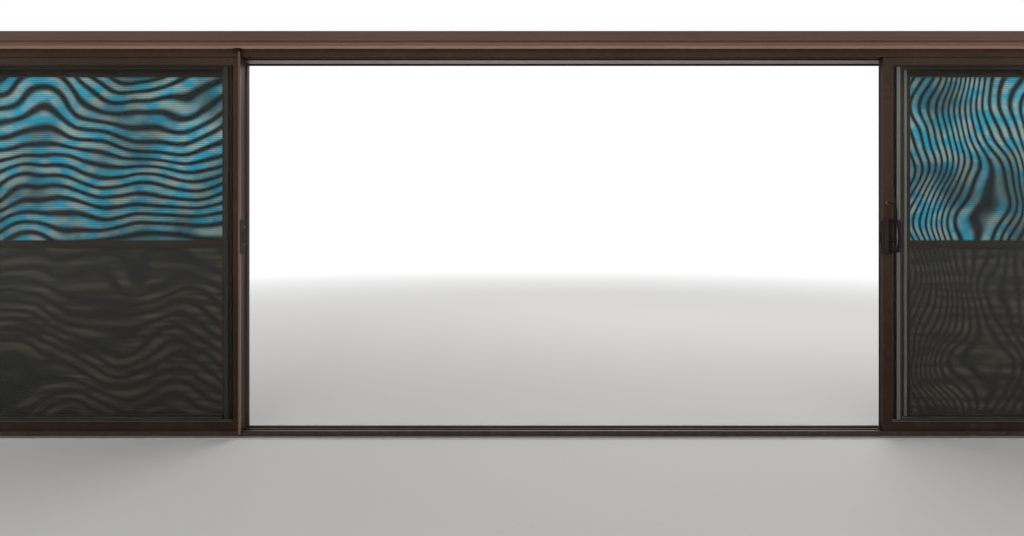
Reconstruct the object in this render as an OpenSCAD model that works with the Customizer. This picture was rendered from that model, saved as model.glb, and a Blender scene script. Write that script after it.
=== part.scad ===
// Wide bi-parting sliding glass door set of bronze aluminium in a painted timber reveal.
// X runs along the wall, -Y is the room side, +Y is outdoors and Z is up.
// The origin lies under the middle of the sill. The two doors stand open, as do the insect screens.

/* [Frame] */
// Overall width of the aluminium frame
frame_w = 7620; // [6200:10:9200]
// Overall height of the aluminium frame
frame_h = 2100; // [1750:10:2700]
// Depth of the frame, from room to outdoors
frame_d = 145; // [145:1:190]
// Wall of the head, sill and jamb extrusions
frame_wall = 3; // [2:0.5:4]
// Face width of a jamb, seen from the room
jamb_face = 40; // [34:1:60]
// Depth of the lips that hang from the head
head_lip = 42; // [38:1:60]
// Height of the sill's room-side upstand
sill_upstand = 30; // [28:1:34]
// Height of the shadow gap at the foot of the sill, above the floor trim
toe_h = 11; // [8:0.5:11]
// Depth of that shadow gap
toe_d = 4; // [2:0.5:6]

/* [Tracks] */
// Distance of the door track from the frame's middle, towards the room
door_track = 47; // [46:0.5:48]
// Distance of the fixed panels from the frame's middle, outwards
fixed_offset = 6; // [6:0.5:8]
// Distance of the screen track from the frame's middle, outwards
screen_track = 53; // [52:0.5:54]
// Height of the door track's rib above the sill's underside
door_rib_h = 26; // [22:1:28]
// Height of the screen track's rib above the sill's underside
screen_rib_h = 18; // [14:1:20]
// Height of the seat under the fixed panels
fixed_seat_h = 16; // [12:1:22]

/* [Panels] */
// Thickness of the door and fixed panels
panel_t = 35; // [32:0.5:36]
// Wall of the panel extrusions
panel_wall = 2; // [1.5:0.1:2.5]
// Radius of the extrusions' corners
edge_r = 1.2; // [0.4:0.1:1.5]
// Face width of the door and fixed stiles
stile_w = 50; // [46:1:60]
// Face height of a door's bottom rail
door_bottom_rail = 63; // [60:1:90]
// Face height of a door's top rail
door_top_rail = 60; // [52:1:80]
// Width of a fixed panel, with the part in the jamb's pocket
fixed_w = 1965; // [1500:5:2400]
// How deep a fixed panel stands in the jamb's pocket
pocket_in = 25; // [15:1:30]
// Gap between the two doors' edges when they meet
meet_gap = 10; // [10:0.5:14]
// Gap from the jamb to the back edge of an open door
door_park = 156.5; // [20:0.5:240]

/* [Glazing] */
// Thickness of the glass
glass_t = 6; // [4:0.5:10]
// Rubber on each side of the glass
gasket_t = 3; // [2:0.5:4]
// Depth of the glazing pocket
glaze_d = 13; // [11:0.5:16]
// Gap from the glass edge to the bottom of its pocket
glass_gap = 3; // [2:0.5:5]
// How far the rubber shows beyond the aluminium
gasket_lip = 1.5; // [1:0.5:3]

/* [Insect screens] */
// Width of one screen
screen_w = 1845; // [1500:5:2300]
// Thickness of a screen's frame
screen_t = 23; // [20:0.5:24]
// Wall of the screen extrusions
screen_wall = 1.5; // [1.2:0.1:2]
// Face width of a screen's stile
screen_stile = 46; // [40:1:60]
// Face height of a screen's top rail
screen_top_rail = 89; // [60:1:110]
// Face height of a screen's bottom rail
screen_bottom_rail = 68; // [60:1:90]
// Height of the middle of the mid rail
mid_rail_z = 1043; // [800:5:1300]
// Face height of the mid rail
mid_rail_h = 40; // [30:1:60]
// Thickness of the woven mesh, two wires deep
mesh_t = 1.6; // [0.6:0.1:2]
// How far the left screen is drawn out of its parking place
left_screen_out = 149; // [0:1:400]

/* [Door furniture] */
// Height of the middle of the pull
pull_z = 1086; // [900:1:1200]
// Height of the pull, outside to outside
pull_h = 176; // [140:1:240]
// Reach of the pull into the room
pull_reach = 62; // [50:1:80]
// Radius of the bow of the pull's grip, at its outer face
pull_bow_r = 300; // [200:5:600]
// Height of the finger bow's seat above the pull's middle
bow_rise = 184; // [150:1:240]
// Thickness of the finger bow
bow_t = 10; // [6:0.5:12]
// Height of the snib's pivot
snib_z = 1057; // [1040:1:1080]
// Radius of a door roller
roller_r = 12; // [10:0.5:13]
// Width of the fin on the left door's meeting edge
fin_w = 12; // [8:0.5:18]
// Depth of that fin, towards the room
fin_d = 23; // [18:0.5:30]

/* [Timber] */
// Thickness of the reveal boards
reveal_t = 20; // [16:1:30]
// How far the reveal stands in front of the frame
reveal_front = 40; // [20:1:120]
// Face width of the architrave
architrave_w = 66; // [40:1:90]
// Thickness of the architrave
architrave_t = 18; // [12:1:25]
// Step from the reveal's face to the architrave
architrave_margin = 6; // [3:1:10]
// Width of the metal trim on the floor
floor_trim_w = 31; // [25:1:60]
// Width of the nosing outdoors
nosing_w = 44; // [30:1:90]

/* [Hidden] */
$fn = 48;
clear = 5;
seat_gap = 0.3;
cut = 1;

half_d = frame_d / 2;
half_in = frame_w / 2 - jamb_face;
room_face = -half_d;
out_face = half_d;

// Places of the three layers across the frame
door_y = -door_track;
fixed_y = fixed_offset;
screen_y = screen_track;

// Ribs and walls of the head and the jambs
guide_w = 15;
guide_drop = head_lip;
screen_guide_w = 6;
screen_guide_drop = 30;
pocket_slack = 3;
pocket_a = fixed_y - panel_t / 2 - pocket_slack;
pocket_b = fixed_y + panel_t / 2 + pocket_slack;
box_rib_w = 10;
rib_w = 4;
bead_r = 3;
seat_lip_t = 2.5;
seat_lip_h = 6;
outer_upstand = 12;
pencil_r = 2;

// Heights of the doors, the fixed panels and the screens
door_bottom = 18;
screen_bottom = 12;
sliding_slack = 22;
fixed_slack = 6;
wheel_gap = 4;
door_top = frame_h - sliding_slack;
fixed_top = frame_h - fixed_slack;
screen_top = frame_h - sliding_slack;
sight_low = door_bottom + door_bottom_rail;
sight_high = door_top - door_top_rail;
door_web_z = door_rib_h + seat_gap + 2 * roller_r + wheel_gap;
top_channel = guide_drop + clear - (frame_h - door_top);
bottom_channel = door_web_z - door_bottom;

// Places along the wall, measured from the centre line
fixed_lead = half_in + pocket_in - fixed_w;
door_w = fixed_lead + stile_w - meet_gap / 2;
door_lead = half_in - door_park - door_w;
screen_lead = half_in - clear - screen_w;

// Ribs that hold the seal on a door's leading edge
seal_rib = 1.5;
seal_slot = 5;

// The interlock's hooks stand between the door and the fixed panel, with equal gaps
layer_gap = (fixed_y - panel_t / 2) - (door_y + panel_t / 2);
hook_t = (layer_gap - 3 * clear) / 2;
hook_reach = layer_gap - clear;
hook_inset = 10;
hook_lip = 22;
hook_low = sill_upstand + clear;
hook_high = frame_h - head_lip - clear;

// Pocket and groove widths
glaze_w = glass_t + 2 * gasket_t;
groove_w = mesh_t + 2 * seat_gap;
groove_d = 8;

// Screen rollers and channels
screen_roller_r = 9;
screen_wheel_gap = 3;
screen_web_z = screen_rib_h + seat_gap + 2 * screen_roller_r + screen_wheel_gap;
screen_bottom_channel = screen_web_z - screen_bottom;
screen_top_channel = screen_guide_drop + clear - (frame_h - screen_top);

// Door furniture
plate_t = 4;
plate_inset = 2;
plate_corner = 6;
plate_beyond = 10;
pull_bar = 26;
pull_bar_t = 12;
pull_leg = 24;
pull_leg_t = 11;
grip_step = 1;
pull_edge = 12;
pull_x = stile_w - pull_edge;
pull_offset = 18;
snib_pin_r = 4;
snib_len = 30;
snib_t = 6;
keeper_t = 2.5;
keeper_h = 186;
keeper_d = 40;
keeper_z = 1083;
lock_plate_d = 2 * (panel_t / 2 - edge_r - 2 * seal_rib - seal_slot - seat_gap);
lock_plate_h = 180;
bow_r = 44;
bow_seat_r = 8;
bow_seat_t = 4;
bow_out = 35;

// Finishes, as they look in the shade of the room
bronze = [0.29, 0.23, 0.20];
dark_metal = [0.10, 0.10, 0.10];
mill = [0.62, 0.60, 0.57];
timber = [0.40, 0.29, 0.23];
rubber = [0.06, 0.06, 0.06];
glazing = [0.70, 0.80, 0.82, 0.35];
mesh_grey = [0.16, 0.17, 0.18];

// A bar along X from an outline drawn as [y, z]
module along_x(x0, x1) {
    translate([x0, 0, 0])
        rotate([90, 0, 90])
            linear_extrude(x1 - x0)
                children();
}

// A bar along Z from an outline drawn as [x, y]
module along_z(z0, z1) {
    translate([0, 0, z0])
        linear_extrude(z1 - z0)
            children();
}

// The left-hand copy of a piece drawn on the right
module on_left() {
    mirror([1, 0, 0])
        children();
}

module rect(x0, x1, y0, y1) {
    translate([x0, y0])
        square([x1 - x0, y1 - y0]);
}

// Rectangle with round corners
module round_rect(x0, x1, y0, y1, r) {
    rect(x0 + r, x1 - r, y0, y1);
    rect(x0, x1, y0 + r, y1 - r);
    for (x = [x0 + r, x1 - r], y = [y0 + r, y1 - r])
        translate([x, y])
            circle(r);
}

module box(x0, x1, y0, y1, z0, z1) {
    translate([x0, y0, z0])
        cube([x1 - x0, y1 - y0, z1 - z0]);
}

// Hollow rib between u0 and u1, from v0 to v1, as an outline
module hollow_rib(u0, u1, v0, v1, wall) {
    difference() {
        rect(u0, u1, v0, v1);
        rect(u0 + wall, u1 - wall, v0 + wall, v1 - wall);
    }
}

// Hollow panel section, u from its outer edge to the glass, v across its thickness.
// The channel is open at the outer edge and the pocket is open to the glass.
module panel_section(w, t, wall, pocket_d, pocket_w, channel = 0) {
    inner = t / 2 - wall;
    chamber_0 = channel + wall;
    chamber_1 = w - pocket_d - wall;
    difference() {
        round_rect(0, w, -t / 2, t / 2, edge_r);
        if (channel > 0)
            rect(-cut, channel, -inner, inner);
        if (chamber_1 - chamber_0 > wall)
            rect(chamber_0, chamber_1, -inner, inner);
        rect(w - pocket_d, w + cut, -pocket_w / 2, pocket_w / 2);
        if (inner - pocket_w / 2 > 2 * wall)
            for (s = [0, 1])
                mirror([0, s])
                    rect(w - pocket_d, w - wall, pocket_w / 2 + wall, inner);
    }
}

// Section of a mid rail, with a groove along both edges
module mid_section(w, t, wall, pocket_d, pocket_w) {
    inner = t / 2 - wall;
    difference() {
        rect(0, w, -t / 2, t / 2);
        rect(pocket_d + wall, w - pocket_d - wall, -inner, inner);
        rect(-cut, pocket_d, -pocket_w / 2, pocket_w / 2);
        rect(w - pocket_d, w + cut, -pocket_w / 2, pocket_w / 2);
    }
}

// Hook of an interlock as an outline: web at u, lip towards +u with a round tip, on the +v face
module hook_outline(u, v) {
    tip = hook_t / 2;
    rect(u, u + hook_t, v - tip, v + hook_reach);
    rect(u, u + hook_lip - tip, v + hook_reach - hook_t, v + hook_reach);
    translate([u + hook_lip - tip, v + hook_reach - tip])
        circle(tip);
}

// Wall of an extrusion with a round free edge at v1, as an outline
module lip(u0, v0, v1) {
    tip = frame_wall / 2;
    way = v1 > v0 ? 1 : -1;
    rect(u0, u0 + frame_wall, min(v0, v1 - way * tip), max(v0, v1 - way * tip));
    translate([u0 + tip, v1 - way * tip])
        circle(tip);
}

// Outline of the head, the sill and the jambs
module head_outline() {
    top = frame_h;
    rect(room_face, out_face, top - frame_wall, top);
    for (y = [room_face, out_face - frame_wall])
        lip(y, top, top - head_lip);
    for (y = [door_y - guide_w / 2, door_y + guide_w / 2 - frame_wall])
        lip(y, top, top - guide_drop);
    lip(pocket_a - frame_wall, top, top - guide_drop);
    hollow_rib(pocket_b, pocket_b + box_rib_w, top - guide_drop, top, panel_wall);
    rect(screen_y - screen_guide_w / 2, screen_y + screen_guide_w / 2, top - screen_guide_drop, top);
}

module track_rib(y, h) {
    rect(y - rib_w / 2, y + rib_w / 2, 0, h - bead_r);
    translate([y, h - bead_r])
        circle(bead_r);
}

module sill_outline() {
    rect(room_face + toe_d, out_face, 0, frame_wall);
    rect(room_face + toe_d, room_face + toe_d + frame_wall, 0, toe_h + panel_wall);
    rect(room_face, room_face + toe_d + frame_wall, toe_h, toe_h + panel_wall);
    lip(room_face, toe_h, sill_upstand);
    lip(out_face - frame_wall, 0, outer_upstand);
    track_rib(door_y, door_rib_h);
    track_rib(screen_y, screen_rib_h);
    hollow_rib(pocket_a, pocket_b, 0, fixed_seat_h, panel_wall);
    for (y = [pocket_a, pocket_b - seat_lip_t])
        rect(y, y + seat_lip_t, 0, fixed_seat_h + seat_lip_h);
}

module jamb_outline() {
    back = half_in + jamb_face;
    rect(back - frame_wall, back, room_face, out_face);
    for (y = [room_face, out_face - frame_wall])
        rect(half_in, back, y, y + frame_wall);
    rect(half_in, back, pocket_a - frame_wall, pocket_a);
    hollow_rib(half_in, back, pocket_b, pocket_b + box_rib_w, panel_wall);
}

module frame_head() {
    color(bronze)
        along_x(-half_in, half_in)
            head_outline();
}

module frame_sill() {
    color(bronze)
        along_x(-half_in, half_in)
            sill_outline();
}

module frame_jamb() {
    color(bronze)
        along_z(0, frame_h)
            jamb_outline();
}

// Snap-in strip that closes the head's pocket between the fixed panels
module head_filler() {
    low = frame_h - guide_drop;
    leg = 14;
    color(bronze)
        along_x(-fixed_lead + clear, fixed_lead - clear) {
            rect(pocket_a, pocket_b, low, low + panel_wall);
            for (y = [pocket_a, pocket_b - panel_wall])
                rect(y, y + panel_wall, low, low + leg);
        }
}

// Trim on the floor, with a tongue in the sill's shadow gap
module floor_trim() {
    t = 5;
    bevel = 3;
    y0 = room_face - floor_trim_w;
    color(mill) {
        along_x(-frame_w / 2, frame_w / 2)
            polygon([[y0, 0], [room_face, 0], [room_face, t], [y0 + bevel, t], [y0, t - bevel]]);
        along_x(-half_in, half_in)
            rect(room_face - cut, room_face + toe_d, 0, t);
    }
}

// Sloped nosing outdoors, with a drip at its edge
module outer_nosing() {
    t = 2;
    high = outer_upstand - 1;
    low = 3;
    y1 = out_face + nosing_w;
    color(mill)
        along_x(-frame_w / 2, frame_w / 2)
            difference() {
                polygon([[out_face, 0], [y1, 0], [y1, low], [out_face, high]]);
                polygon([[out_face + t, -cut], [y1 - t, -cut],
                    [y1 - t, low - t], [out_face + t, high - t]]);
            }
}

// Reveal boards, with a pencil round on their room-side edges
module reveal_outline(u0) {
    front = room_face - reveal_front;
    rect(front + pencil_r, out_face, u0, u0 + reveal_t);
    round_rect(front, front + reveal_t, u0, u0 + reveal_t, pencil_r);
}

module reveal_head() {
    color(timber)
        along_x(-frame_w / 2, frame_w / 2)
            reveal_outline(frame_h);
}

module reveal_sides() {
    color(timber)
        for (s = [0, 1])
            mirror([s, 0, 0])
                along_z(0, frame_h + reveal_t)
                    mirror([1, 0])
                        rotate(90)
                            reveal_outline(frame_w / 2);
}

// Moulded architrave section: u from its inner edge outwards, v from the wall into the room
module architrave_outline() {
    bead = 5;
    step = 3;
    cove = 4;
    difference() {
        union() {
            rect(0, architrave_w, 0, architrave_t - step);
            rect(0, 2 * bead, 0, architrave_t - bead);
            translate([bead, architrave_t - bead])
                circle(bead);
            rect(2 * bead + cove, architrave_w, 0, architrave_t);
        }
        translate([2 * bead + cove, architrave_t])
            circle(cove);
    }
}

// Keeps the part of an architrave on one side of its corner mitre
module mitre_keep(head) {
    corner = frame_w / 2 + architrave_margin;
    high = frame_h + architrave_margin;
    reach = architrave_w + cut;
    front = room_face - reveal_front;
    intersection() {
        children();
        translate([0, front + cut, 0])
            rotate([90, 0, 0])
                linear_extrude(architrave_t + 2 * cut)
                    if (head)
                        polygon([[0, high], [corner - seat_gap, high],
                            [corner + reach - seat_gap, high + reach], [0, high + reach]]);
                    else
                        polygon([[corner, 0], [corner + reach, 0],
                            [corner + reach, high + reach], [corner, high]]);
    }
}

module architrave_head() {
    front = room_face - reveal_front;
    high = frame_h + architrave_margin;
    color(timber)
        for (s = [0, 1])
            mirror([s, 0, 0])
                mitre_keep(true)
                    translate([0, front, high])
                        rotate([0, 90, 0])
                            rotate([0, 0, 180])
                                linear_extrude(frame_w / 2 + architrave_margin + architrave_w + cut)
                                    architrave_outline();
}

module architrave_sides() {
    front = room_face - reveal_front;
    color(timber)
        for (s = [0, 1])
            mirror([s, 0, 0])
                mitre_keep(false)
                    translate([frame_w / 2 + architrave_margin, front, 0])
                        mirror([0, 1, 0])
                            linear_extrude(frame_h + architrave_margin + architrave_w + cut)
                                architrave_outline();
}

// Door stile on the right, u from its outer edge, with its ends notched over the ribs
module door_stile(x, facing) {
    head_notch = guide_w / 2 + clear;
    sill_notch = bead_r + clear;
    difference() {
        translate([x, door_y, door_bottom])
            mirror([facing > 0 ? 0 : 1, 0, 0])
                linear_extrude(door_top - door_bottom)
                    panel_section(stile_w, panel_t, panel_wall, glaze_d, glaze_w);
        box(x - stile_w - cut, x + stile_w + cut, door_y - head_notch, door_y + head_notch,
            frame_h - guide_drop - clear, frame_h);
        box(x - stile_w - cut, x + stile_w + cut, door_y - sill_notch, door_y + sill_notch,
            0, door_rib_h + clear);
    }
}

// Back stile of a door, with the hook that catches the fixed panel
module door_interlock() {
    back = door_lead + door_w;
    color(bronze) {
        door_stile(back, -1);
        translate([back - hook_inset, door_y, hook_low])
            mirror([1, 0, 0])
                linear_extrude(hook_high - hook_low)
                    hook_outline(0, panel_t / 2);
    }
}

// Two ribs that hold the seal, at the outdoors corner of a leading edge
module seal_ribs() {
    back = door_y + panel_t / 2 - edge_r;
    along_z(hook_low, hook_high)
        for (y = [back - seal_rib, back - 2 * seal_rib - seal_slot])
            rect(door_lead - seal_rib, door_lead + panel_wall, y, y + seal_rib);
}

module lock_stile() {
    color(bronze) {
        door_stile(door_lead, 1);
        seal_ribs();
    }
}

module fin_outline(front) {
    difference() {
        union() {
            round_rect(0, fin_w, front - fin_d, front, edge_r);
            rect(0, fin_w, front - edge_r, front + edge_r);
        }
        rect(panel_wall, fin_w - panel_wall, front - fin_d + panel_wall, front - panel_wall);
    }
}

// The left door's meeting stile has a hollow fin, cut back behind the head lip and the sill
module meeting_stile() {
    front = door_y - panel_t / 2;
    fin_inset = 1;
    fin_slack = 12;
    color(bronze)
        difference() {
            union() {
                door_stile(door_lead, 1);
                seal_ribs();
                along_z(door_bottom + fin_inset, frame_h - fin_slack)
                    translate([door_lead, 0])
                        fin_outline(front);
            }
            for (z = [[0, hook_low], [hook_high, frame_h]])
                box(door_lead - cut, door_lead + fin_w + cut, room_face - clear, front, z[0], z[1]);
        }
}

module door_top_rail() {
    color(bronze)
        along_x(door_lead + stile_w, door_lead + door_w - stile_w)
            translate([door_y, door_top])
                rotate(-90)
                    panel_section(door_top_rail, panel_t, panel_wall, glaze_d, glaze_w, top_channel);
}

module door_bottom_rail() {
    color(bronze)
        along_x(door_lead + stile_w, door_lead + door_w - stile_w)
            translate([door_y, door_bottom])
                rotate(90)
                    panel_section(door_bottom_rail, panel_t, panel_wall, glaze_d, glaze_w, bottom_channel);
}

// Glass and rubber of one panel, between sight lines x0 to x1 and z0 to z1
module pane(x0, x1, y, z0, z1) {
    edge = glaze_d - glass_gap;
    color(glazing)
        box(x0 - edge, x1 + edge, y - glass_t / 2, y + glass_t / 2, z0 - edge, z1 + edge);
}

module pane_gasket(x0, x1, y, z0, z1) {
    edge = glaze_d - glass_gap;
    color(rubber)
        difference() {
            box(x0 - glaze_d, x1 + glaze_d, y - glaze_w / 2, y + glaze_w / 2, z0 - glaze_d, z1 + glaze_d);
            box(x0 - edge, x1 + edge, y - glass_t / 2, y + glass_t / 2, z0 - edge, z1 + edge);
            box(x0 + gasket_lip, x1 - gasket_lip, y - glaze_w, y + glaze_w,
                z0 + gasket_lip, z1 - gasket_lip);
        }
}

module door_glass() {
    pane(door_lead + stile_w, door_lead + door_w - stile_w, door_y, sight_low, sight_high);
}

module door_gasket() {
    pane_gasket(door_lead + stile_w, door_lead + door_w - stile_w, door_y, sight_low, sight_high);
}

// Grooved wheel in a housing that fills the rail from side to side
module roller(x, y, rib_z, r, web_z, inner_t) {
    wheel_w = 10;
    groove = 2;
    roof = 1.5;
    end_gap = 4;
    axle_r = r / 3;
    axle_z = rib_z + seat_gap + r;
    length = 4 * r;
    slot = wheel_w + 2;
    translate([x, y, 0]) {
        translate([0, 0, axle_z])
            rotate([90, 0, 0])
                rotate_extrude()
                    polygon([[0, -wheel_w / 2], [r + groove, -wheel_w / 2], [r, -groove], [r, groove],
                        [r + groove, wheel_w / 2], [0, wheel_w / 2]]);
        translate([0, inner_t / 2, axle_z])
            rotate([90, 0, 0])
                cylinder(h = inner_t, r = axle_r);
        difference() {
            box(-length / 2, length / 2, -inner_t / 2, inner_t / 2, axle_z - axle_r, web_z);
            box(-r - end_gap, r + end_gap, -slot / 2, slot / 2, 0, web_z - roof);
        }
    }
}

module door_rollers() {
    inset = 160;
    color(dark_metal)
        for (x = [door_lead + stile_w + inset, door_lead + door_w - stile_w - inset])
            roller(x, door_y, door_rib_h, roller_r, door_web_z, panel_t - 2 * panel_wall);
}

// Fixed panel on the right
module fixed_interlock() {
    color(bronze) {
        translate([fixed_lead, fixed_y, fixed_seat_h])
            linear_extrude(fixed_top - fixed_seat_h)
                panel_section(stile_w, panel_t, panel_wall, glaze_d, glaze_w);
        translate([fixed_lead + hook_inset, fixed_y, hook_low])
            linear_extrude(hook_high - hook_low)
                mirror([0, 1])
                    hook_outline(0, panel_t / 2);
    }
}

module fixed_jamb_stile() {
    color(bronze)
        translate([fixed_lead + fixed_w, fixed_y, fixed_seat_h])
            linear_extrude(fixed_top - fixed_seat_h)
                mirror([1, 0])
                    panel_section(stile_w, panel_t, panel_wall, glaze_d, glaze_w);
}

module fixed_rails() {
    color(bronze)
        along_x(fixed_lead + stile_w, fixed_lead + fixed_w - stile_w) {
            translate([fixed_y, fixed_seat_h])
                rotate(90)
                    panel_section(sight_low - fixed_seat_h, panel_t, panel_wall, glaze_d, glaze_w);
            translate([fixed_y, fixed_top])
                rotate(-90)
                    panel_section(fixed_top - sight_high, panel_t, panel_wall, glaze_d, glaze_w);
        }
}

module fixed_glass() {
    for (s = [0, 1])
        mirror([s, 0, 0])
            pane(fixed_lead + stile_w, fixed_lead + fixed_w - stile_w, fixed_y, sight_low, sight_high);
}

module fixed_gaskets() {
    for (s = [0, 1])
        mirror([s, 0, 0])
            pane_gasket(fixed_lead + stile_w, fixed_lead + fixed_w - stile_w, fixed_y,
                sight_low, sight_high);
}

// Plate on the left door's meeting edge, with the slot that the lock's hook enters
module keeper() {
    y0 = door_y - panel_t / 2 - fin_d;
    slot_d = 12;
    slot_h = 70;
    color(dark_metal)
        difference() {
            box(door_lead - keeper_t, door_lead, y0, y0 + keeper_d,
                keeper_z - keeper_h / 2, keeper_z + keeper_h / 2);
            box(door_lead - keeper_t - cut, door_lead + cut,
                y0 + keeper_d - 2 * slot_d, y0 + keeper_d - slot_d,
                keeper_z - slot_h / 2, keeper_z + slot_h / 2);
        }
}

module lock_plate() {
    slot_d = 9;
    slot_h = 60;
    color(dark_metal)
        difference() {
            box(door_lead - keeper_t, door_lead, door_y - lock_plate_d / 2, door_y + lock_plate_d / 2,
                keeper_z - lock_plate_h / 2, keeper_z + lock_plate_h / 2);
            box(door_lead - keeper_t - cut, door_lead + cut, door_y - slot_d / 2, door_y + slot_d / 2,
                keeper_z - slot_h / 2, keeper_z + slot_h / 2);
        }
}

// Flat bar with round edges, w wide and t thick
module bar_outline(w, t) {
    flat = w / 2 - t / 2;
    rect(-t / 2, t / 2, -flat, flat);
    for (s = [-1, 1])
        translate([0, s * flat])
            circle(t / 2);
}

// D-shaped loop in its own plane: reach along +X, height along Z, its grip bowed outwards
module pull_loop() {
    middle = pull_reach - pull_bow_r;
    turn = asin((pull_h - grip_step) / 2 / pull_bow_r);
    leg_end = middle + pull_bow_r * cos(turn) - grip_step;
    translate([middle, 0, 0])
        rotate([90, turn, 0])
            rotate_extrude(angle = 2 * turn)
                translate([pull_bow_r - pull_bar_t / 2, 0])
                    bar_outline(pull_bar, pull_bar_t);
    for (s = [-1, 1])
        translate([0, 0, s * (pull_h - pull_leg_t) / 2])
            rotate([0, 90, 0])
                linear_extrude(leg_end)
                    bar_outline(pull_leg, pull_leg_t);
}

// Rod that rises from the pull's upper leg and turns back to a round seat on the stile
module finger_bow(tilt) {
    out = bow_out * cos(tilt);
    across = sqrt(bow_r * bow_r - out * out);
    seat_x = pull_x + bow_out * sin(tilt) - across;
    rod = bow_rise - bow_r - (pull_h - pull_leg_t) / 2;
    translate([seat_x, 0, bow_rise - bow_r])
        rotate([0, 0, -atan2(out, across)]) {
            translate([bow_r, 0, -rod])
                cylinder(h = rod, r = bow_t / 2);
            rotate([90, 0, 0])
                rotate_extrude(angle = 90)
                    translate([bow_r, 0])
                        circle(bow_t / 2);
        }
    translate([seat_x, 0, bow_rise])
        rotate([90, 0, 0])
            cylinder(h = bow_seat_t, r = bow_seat_r);
}

module pull() {
    face = door_y - panel_t / 2;
    tilt = atan(pull_offset / pull_reach);
    plate_h = pull_h + 2 * plate_beyond;
    color(dark_metal)
        difference() {
            union() {
                translate([door_lead, face, pull_z])
                    rotate([90, 0, 0])
                        linear_extrude(plate_t)
                            round_rect(plate_inset, stile_w - edge_r,
                                -plate_h / 2, plate_h / 2, plate_corner);
                intersection() {
                    translate([door_lead, face, pull_z]) {
                        translate([pull_x, 0, 0])
                            rotate([0, 0, -90 + tilt])
                                pull_loop();
                        finger_bow(tilt);
                    }
                    box(door_lead, fixed_lead + fixed_w, face - 2 * pull_reach, face, 0, frame_h);
                }
            }
            translate([door_lead + pull_x, face + cut, snib_z])
                rotate([90, 0, 0])
                    cylinder(h = plate_t + 2 * cut, r = snib_pin_r + seat_gap);
        }
}

// Thumb lever on a round pin through the pull's back plate
module snib() {
    face = door_y - panel_t / 2;
    lever_y = face - plate_t - 1;
    tip = 4;
    root = 7;
    color(dark_metal)
        translate([door_lead + pull_x, 0, snib_z])
            rotate([90, 0, 0]) {
                translate([0, 0, seat_gap - face])
                    cylinder(h = plate_t + 1 + snib_t - seat_gap, r = snib_pin_r);
                translate([0, 0, -lever_y]) {
                    cylinder(h = snib_t, r = root);
                    linear_extrude(snib_t)
                        polygon([[0, -root], [snib_len - tip, -tip], [snib_len - tip, tip], [0, root]]);
                    translate([snib_len - tip, 0, 0])
                        cylinder(h = snib_t, r = tip);
                }
            }
}

// Screen pieces on the right, at their parking place
module screen_stile_cut(x, facing) {
    head_notch = screen_guide_w / 2 + clear;
    sill_notch = bead_r + clear;
    difference() {
        translate([x, screen_y, screen_bottom])
            mirror([facing > 0 ? 0 : 1, 0, 0])
                linear_extrude(screen_top - screen_bottom)
                    panel_section(screen_stile, screen_t, screen_wall, groove_d, groove_w);
        box(x - screen_stile - cut, x + screen_stile + cut, screen_y - head_notch, screen_y + head_notch,
            frame_h - screen_guide_drop - clear, frame_h);
        box(x - screen_stile - cut, x + screen_stile + cut, screen_y - sill_notch, screen_y + sill_notch,
            0, screen_rib_h + clear);
    }
}

module screen_stiles() {
    color(bronze) {
        screen_stile_cut(screen_lead, 1);
        screen_stile_cut(screen_lead + screen_w, -1);
    }
}

module screen_rails() {
    color(bronze)
        along_x(screen_lead + screen_stile, screen_lead + screen_w - screen_stile) {
            translate([screen_y, screen_bottom])
                rotate(90)
                    panel_section(screen_bottom_rail, screen_t, screen_wall, groove_d, groove_w,
                        screen_bottom_channel);
            translate([screen_y, screen_top])
                rotate(-90)
                    panel_section(screen_top_rail, screen_t, screen_wall, groove_d, groove_w,
                        screen_top_channel);
            translate([screen_y, mid_rail_z - mid_rail_h / 2])
                rotate(90)
                    mid_section(mid_rail_h, screen_t, screen_wall, groove_d, groove_w);
        }
}

module screen_mesh() {
    x0 = screen_lead + screen_stile;
    x1 = screen_lead + screen_w - screen_stile;
    edge = groove_d - 1;
    low = [screen_bottom + screen_bottom_rail, mid_rail_z + mid_rail_h / 2];
    high = [mid_rail_z - mid_rail_h / 2, screen_top - screen_top_rail];
    color(mesh_grey)
        for (i = [0, 1])
            box(x0 - edge, x1 + edge, screen_y - mesh_t / 2, screen_y + mesh_t / 2,
                low[i] - edge, high[i] + edge);
}

module screen_rollers() {
    inset = 120;
    color(dark_metal)
        for (x = [screen_lead + screen_stile + inset, screen_lead + screen_w - screen_stile - inset])
            roller(x, screen_y, screen_rib_h, screen_roller_r, screen_web_z, screen_t - 2 * screen_wall);
}

// The left screen is drawn out of its parking place
module left_screen() {
    on_left()
        translate([-left_screen_out, 0, 0])
            children();
}

frame_head();
frame_sill();
on_left() frame_jamb();  // frame_jamb_left
frame_jamb();  // frame_jamb_right
head_filler();
floor_trim();
outer_nosing();
reveal_head();
reveal_sides();
architrave_head();
architrave_sides();
on_left() fixed_interlock();  // left_fixed_interlock
on_left() fixed_jamb_stile();  // left_fixed_jamb_stile
on_left() fixed_rails();  // left_fixed_rails
fixed_interlock();  // right_fixed_interlock
fixed_jamb_stile();  // right_fixed_jamb_stile
fixed_rails();  // right_fixed_rails
fixed_glass();
fixed_gaskets();
on_left() meeting_stile();  // left_door_meeting_stile
on_left() door_interlock();  // left_door_interlock
on_left() door_top_rail();  // left_door_top_rail
on_left() door_bottom_rail();  // left_door_bottom_rail
on_left() door_glass();  // left_door_glass
on_left() door_gasket();  // left_door_gasket
on_left() door_rollers();  // left_door_rollers
on_left() keeper();  // left_door_keeper
lock_stile();  // right_door_lock_stile
door_interlock();  // right_door_interlock
door_top_rail();  // right_door_top_rail
door_bottom_rail();  // right_door_bottom_rail
door_glass();  // right_door_glass
door_gasket();  // right_door_gasket
door_rollers();  // right_door_rollers
lock_plate();  // right_door_lock_plate
pull();  // right_door_pull
snib();  // right_door_snib
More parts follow.
